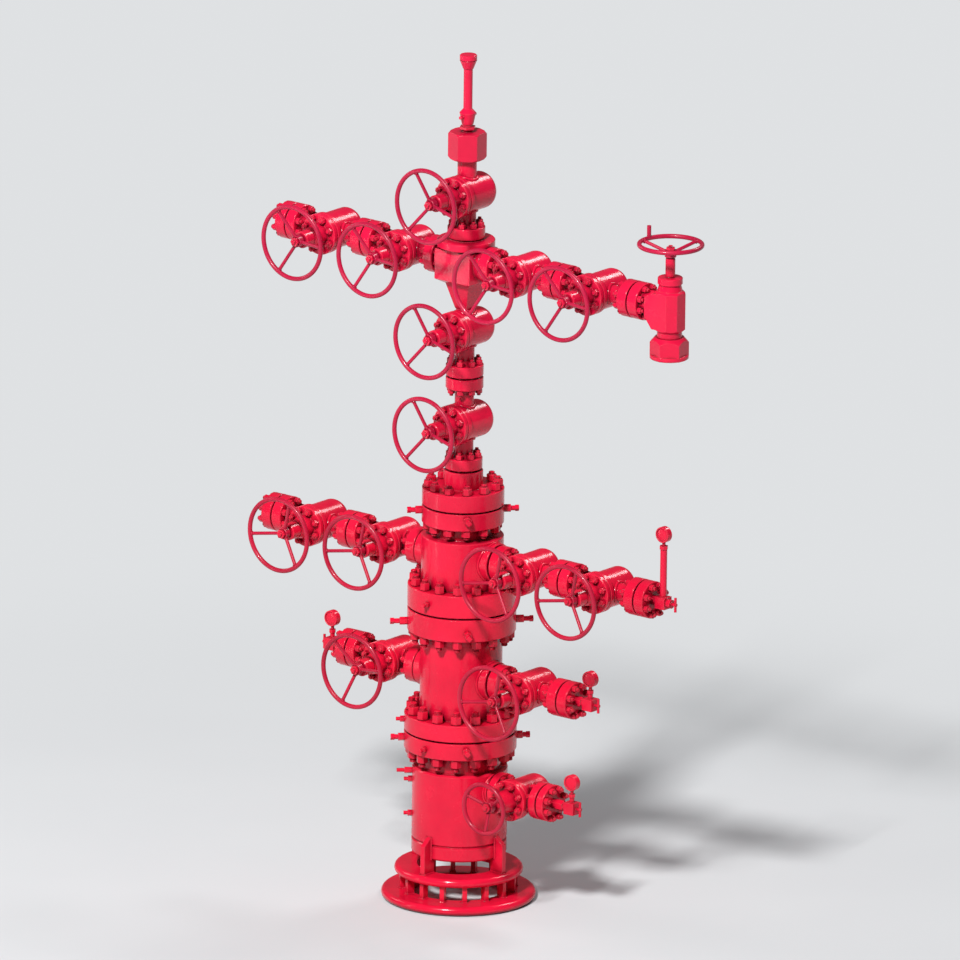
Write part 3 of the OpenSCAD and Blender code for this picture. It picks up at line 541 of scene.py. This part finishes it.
def bolt_circle(build, face, axis, spec):
    """Nuts and stud ends round a point on a flange's outer face, pointing along axis."""
    out = toward(face, axis)
    top = Matrix.Translation((0, 0, spec["nut_h"]))
    for i, angle, spot in stud_spots(spec):
        twist = Matrix.Rotation(angle + (i * NUT_TWIST % HEX_TURN) * math.pi / 180, 4, "Z")
        build.add(nut(spec["nut_r"], spec["nut_h"]), out @ spot @ twist)
        build.add(stud_end(spec["stud_r"], spec["stud_out"], spec["turns"]), out @ spot @ top)


def gap_studs(build, plane, axis, spec):
    """The stretch of each stud that shows between two flanges."""
    out = toward(plane, axis)
    reach = JOINT_GAP / 2 + STUD_SINK
    for _, _, spot in stud_spots(spec):
        build.add(lathe([(spec["stud_r"], -reach), (spec["stud_r"], reach)], STUD_SIDES), out @ spot)


def flange_pair(build, plane, axis, spec, before, after):
    """Studs and nuts of one joint. before and after are the flanges' thicknesses, or None where studs are tapped in."""
    plane, axis = Vector(plane), Vector(axis)
    gap_studs(build, plane, axis, spec)
    if after is not None:
        bolt_circle(build, plane + axis * (JOINT_GAP / 2 + after), axis, spec)
    if before is not None:
        bolt_circle(build, plane - axis * (JOINT_GAP / 2 + before), -axis, spec)


def big_flange_bolts():
    """The studs of the three large joints of the stack."""
    for name, node, spec, thickness in (
        ("casing_head_studs", "casing_head", LOW_BOLTS, LOW_FLANGE_T),
        ("casing_spool_studs", "casing_spool", MID_BOLTS, MID_FLANGE_T),
        ("tubing_head_studs", "tubing_head", TOP_BOLTS, TOP_FLANGE_T),
    ):
        build = Build()
        plane = (0, 0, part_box(node)[1][2])
        flange_pair(build, plane, UP, spec, thickness, thickness)
        build.make(name, BOLT_PAINT)


def tree_bolts():
    """The studs of the vertical run: adapter, master valves and swab valve."""
    build = Build()
    flange_pair(build, (0, 0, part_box("adapter_flange")[1][2]), UP, SMALL_BOLTS, None, FLANGE_T)
    flange_pair(build, (0, 0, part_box("lower_master_valve")[1][2]), UP, SMALL_BOLTS, FLANGE_T, FLANGE_T)
    flange_pair(build, (0, 0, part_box("swab_valve")[0][2]), UP, SMALL_BOLTS, None, FLANGE_T)
    build.make("tree_studs", BOLT_PAINT)


def arm_bolts():
    """The studs of every joint along the side arms."""
    arms = {
        "wing_studs": [("left_inner_wing_valve", "left_outer_wing_valve"),
                       ("right_inner_wing_valve", "right_outer_wing_valve")],
        "tubing_outlet_studs": [("left_inner_tubing_valve", "left_outer_tubing_valve"),
                                ("right_inner_tubing_valve", "right_outer_tubing_valve")],
        "casing_outlet_studs": [("left_casing_valve",), ("right_casing_valve",), ("casing_head_valve",)],
    }
    for name, chains in arms.items():
        build = Build()
        for chain in chains:
            for place, valve in enumerate(chain):
                centre = valve_centre(valve)
                side = 1 if centre.x > 0 else -1
                low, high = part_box(valve)
                inner_x, outer_x = (low[0], high[0]) if side > 0 else (high[0], low[0])
                thickness = SMALL_FLANGE_T if valve == "casing_head_valve" else FLANGE_T
                if place == 0:
                    flange_pair(build, (inner_x, 0, centre.z), (side, 0, 0), SMALL_BOLTS, None, thickness)
                flange_pair(build, (outer_x, 0, centre.z), (side, 0, 0), SMALL_BOLTS, thickness, thickness)
        build.make(name, BOLT_PAINT)


def bonnet_bolts():
    """The bolts on the bonnets' flanges."""
    for name, wanted in (("tree_bonnet_studs", ("wing", "master", "swab")),
                         ("outlet_bonnet_studs", ("tubing", "casing"))):
        build = Build()
        for valve in VALVES:
            if any(word in valve for word in wanted):
                face = valve_centre(valve) + Vector((0, -BONNET_FRONT, 0))
                bolt_circle(build, face, FRONT, BONNET_BOLTS)
        build.make(name, BOLT_PAINT)


def cast_fillets():
    """The soft joints between a valve's body and its necks."""
    build = Build()
    for valve in VALVES:
        centre = Matrix.Translation(valve_centre(valve))
        upright = 90 if "master" in valve or "swab" in valve else 0
        for turn in (0, 180):
            lie = Matrix.Rotation(math.radians(turn - upright), 4, "Y")
            path = neck_path(NECK_R + NECK_FILLET_OUT, BODY_R, NECK_FILLET_POINTS)
            build.add(bead(path, NECK_FILLET_R), centre @ lie)
    build.make("valve_fillets", CAST_PAINT, smooth=FILLET_SMOOTH)


def outlet_fillets():
    """The fillets round the outlet pads on the heads and the spool."""
    build = Build()
    for valve, body_r, pad_r, turns in (("right_casing_valve", HEAD_R, PAD_R, (0, 180)),
                                        ("right_inner_tubing_valve", HEAD_R, PAD_R, (0, 180)),
                                        ("casing_head_valve", BARREL_R, CASING_PAD_R, (0,))):
        height = valve_centre(valve).z
        for turn in turns:
            place = Matrix.Translation((0, 0, height)) @ Matrix.Rotation(math.radians(turn), 4, "Z")
            build.add(bead(pad_path(pad_r, body_r, PAD_FILLET_POINTS), PAD_FILLET_R), place)
    build.make("outlet_fillets", CAST_PAINT, smooth=FILLET_SMOOTH)


def straight_weld(build, start, end, radius, seed, place):
    """A weld bead along a straight line."""
    path = line_path(start, end, WELD_STEP)
    build.add(bead(path, radius, WELD_RIPPLE, closed=False, sides=WELD_SIDES, seed=seed), place)


def base_welds():
    """Weld beads where ribs, rings and gussets meet."""
    build = Build()
    ring_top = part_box("base_ring")[1][2]
    cage_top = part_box("base_cage")[0][2] + CAGE_RING_UP
    cage_under = cage_top - CAGE_RING_T
    barrel_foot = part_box("casing_head")[0][2]
    gusset_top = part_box("base_cage")[1][2]
    half = RIB_T / 2
    for i in range(RIB_COUNT):
        place = Matrix.Rotation(2 * math.pi * i / RIB_COUNT, 4, "Z")
        for height in (ring_top, cage_under):
            corners = [(RIB_IN_R, -half, height), (RIB_OUT_R, -half, height), (RIB_OUT_R, half, height),
                       (RIB_IN_R, half, height)]
            for k in range(4):
                straight_weld(build, corners[k], corners[(k + 1) % 4], WELD_R, i + k, place)
    half = GUSSET_T / 2
    seam_x = math.sqrt(BARREL_R * BARREL_R - half * half)
    for i in range(GUSSET_COUNT):
        place = Matrix.Rotation(2 * math.pi * i / GUSSET_COUNT, 4, "Z")
        for y in (-half, half):
            for start, end in (((GUSSET_IN_R, y, cage_top), (GUSSET_EDGE_R, y, cage_top)),
                               ((seam_x, y, barrel_foot), (seam_x, y, gusset_top))):
                straight_weld(build, start, end, WELD_R * HEAVY_WELD, i, place)
    build.make("base_welds", SMOOTH_PAINT, smooth=WELD_SMOOTH)


def wheel_welds():
    """Beads where each spoke meets the rim and the hub, on the wheel's own body."""
    for wheel, joint in JOINTS.items():
        build = Build()
        low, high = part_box(wheel)
        rim_r = (high[0] - low[0]) / 2 - RIM_T / 2
        place = Matrix.Translation(Vector(joint["pos_m"]))
        if wheel != "choke_wheel":  # every other wheel stands upright
            place = place @ Matrix.Rotation(math.pi / 2, 4, "X")
        run = math.hypot(rim_r, WHEEL_DISH)
        tilt = math.atan2(WHEEL_DISH, rim_r)
        hub_end = HUB_R / math.cos(tilt) + (STEEP_STEP if tilt > STEEP_SPOKE else 0)
        for turn in SPOKE_TURNS:
            spin = Matrix.Rotation(math.radians(WHEEL_SPOKES.get(wheel, SPOKES_FROM) + turn), 4, "Z")
            lean = Matrix.Translation((0, 0, -WHEEL_DISH)) @ Matrix.Rotation(math.pi / 2 - tilt, 4, "Y")
            for distance in (hub_end, run - RIM_T / 2):
                path = ring_path(SPOKE_R, distance, SPOKE_WELD_POINTS)
                ring = bead(path, SPOKE_WELD_R, SPOKE_RIPPLE, sides=WELD_SIDES, seed=turn)
                build.add(ring, place @ spin @ lean)
        build.make(wheel + "_welds", WHEEL_PAINT, body=wheel, smooth=WELD_SMOOTH)


def stem_tips():
    """The threaded tips of the stems, in front of the nuts that hold the wheels."""
    build = Build()
    for joint in JOINTS.values():
        axis = Vector(joint["axis"])
        front = Vector(joint["pos_m"]) + axis * (HUB_LEN / 2 - WHEEL_DISH + NUT_REACH)
        build.add(stud_end(STEM_TIP_R, STEM_TIP_LEN, STEM_TIP_TURNS), toward(front, axis))
    build.make("stem_tips", BOLT_PAINT)


def gauge_fronts():
    """Bezel rings and domed covers on the gauges."""
    build = Build()
    for centre in gauge_centres():
        place = toward(centre + Vector((0, -GAUGE_T / 2, 0)), FRONT)
        build.add(hoop([circle(GAUGE_R + r, z, GAUGE_SIDES) for r, z in BEZEL]), place)
        cover = [(COVER_R * math.cos(math.radians(a)), COVER_LEVEL + COVER_RISE * math.sin(math.radians(a)))
                 for a in COVER_ANGLES]
        build.add(lathe([(cover[0][0], COVER_FOOT)] + cover, GAUGE_SIDES), place)
    build.make("gauge_fronts", SMOOTH_PAINT)


def gauge_centres():
    """The middles of the four gauges, from the outer faces of their valves."""
    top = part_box("gauges")[1][2]
    tall_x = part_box("right_outer_tubing_valve")[1][0] + JOINT_GAP / 2 + FLANGE_T + TALL_TEE_X
    spool_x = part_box("right_casing_valve")[1][0] + JOINT_GAP / 2 + FLANGE_T + TEE_X
    head_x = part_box("casing_head_valve")[1][0] + JOINT_GAP / 2 + SMALL_FLANGE_T + TEE_X + HEAD_TEE_EXTRA
    spool_z = valve_centre("right_casing_valve").z + SHORT_GAUGE_H
    head_z = valve_centre("casing_head_valve").z + SHORT_GAUGE_H
    return [
        Vector((tall_x, 0, top - GAUGE_R)),
        Vector((spool_x, 0, spool_z)),
        Vector((-spool_x, 0, spool_z)),
        Vector((head_x, 0, head_z)),
    ]


def add_floor():
    """A pale floor that keeps the stack's shadow and runs out into an even pale backdrop."""
    mesh = bpy.data.meshes.new("floor")
    half = FLOOR_HALF
    mesh.from_pydata([(-half, -half, 0), (half, -half, 0), (half, half, 0), (-half, half, 0)], [], [(0, 1, 2, 3)])
    floor = bpy.data.objects.new("floor", mesh)
    floor.location.z = -FLOOR_SINK
    bpy.context.scene.collection.objects.link(floor)
    material, nodes, links, shader = node_tree("floor_grey")
    coords = add_node(nodes, "ShaderNodeTexCoord")
    cloud = noise_value(nodes, links, coords, *FLOOR_NOISE)
    links.new(ramped(nodes, links, cloud, FLOOR_DARK, FLOOR_LIGHT), shader.inputs["Base Color"])
    shader.inputs["Roughness"].default_value = FLOOR_ROUGH

    # Beyond the shadow the floor shows one pale tone to the camera, in reflections and through clear things
    distance = add_node(nodes, "ShaderNodeVectorMath", operation="LENGTH")
    links.new(coords.outputs["Object"], distance.inputs[0])
    far = ranged(nodes, links, distance.outputs["Value"], BACKDROP_SPAN, interpolation_type="SMOOTHSTEP")
    rays = add_node(nodes, "ShaderNodeLightPath").outputs
    seen = reckoned(nodes, links, "MAXIMUM", rays["Is Camera Ray"], rays["Is Glossy Ray"])
    shown = reckoned(nodes, links, "MAXIMUM", seen, rays["Is Transmission Ray"])
    share = reckoned(nodes, links, "MULTIPLY", far, shown)
    pale = add_node(nodes, "ShaderNodeEmission", Color=BACKDROP_TONE, Strength=1.0)
    mix = add_node(nodes, "ShaderNodeMixShader")
    links.new(share, mix.inputs[0])
    links.new(shader.outputs["BSDF"], mix.inputs[1])
    links.new(pale.outputs["Emission"], mix.inputs[2])
    links.new(mix.outputs["Shader"], nodes["Material Output"].inputs["Surface"])
    mesh.materials.append(material)


def add_lights():
    """The studio lamps and an even, weak sky."""
    world = bpy.data.worlds.new("studio")
    world.use_nodes = True
    world.node_tree.nodes["Background"].inputs["Color"].default_value = SKY
    world.node_tree.nodes["Background"].inputs["Strength"].default_value = SKY_STRENGTH
    bpy.context.scene.world = world
    for name, place, size, power in LAMPS:
        data = bpy.data.lights.new(name, "AREA")
        data.shape = "RECTANGLE"
        data.size, data.size_y = size
        data.energy = power
        lamp = bpy.data.objects.new(name, data)
        lamp.location = place
        lamp.visible_camera = False
        lamp.rotation_euler = (Vector((0, 0, LAMPS_AIM_Z)) - Vector(place)).to_track_quat("-Z", "Y").to_euler()
        bpy.context.scene.collection.objects.link(lamp)


def add_camera():
    """The photograph's view."""
    az, el = math.radians(VIEW_AZIMUTH), math.radians(VIEW_ELEVATION)
    look = Vector((-math.sin(az) * math.cos(el), math.cos(az) * math.cos(el), -math.sin(el)))
    low, high = CAD_BOX
    target = Vector((VIEW_MIDDLE_X, 0, (low[2] + high[2]) / 2))
    distance = VIEW_HEIGHT * LENS_MM / SENSOR_MM
    data = bpy.data.cameras.new("camera")
    data.lens = LENS_MM
    data.sensor_width = SENSOR_MM
    data.clip_end = CLIP_END
    camera = bpy.data.objects.new("camera", data)
    camera.location = target - look * distance
    turn = look.to_track_quat("-Z", "Y").to_matrix().to_4x4() @ Matrix.Rotation(math.radians(VIEW_ROLL), 4, "Z")
    camera.rotation_euler = turn.to_euler()
    bpy.context.scene.collection.objects.link(camera)
    bpy.context.scene.camera = camera


bpy.context.scene.view_settings.view_transform = "Standard"
paint_nodes()
big_flange_bolts()
tree_bolts()
arm_bolts()
bonnet_bolts()
cast_fillets()
outlet_fillets()
base_welds()
wheel_welds()
stem_tips()
gauge_fronts()
add_floor()
add_lights()
add_camera()
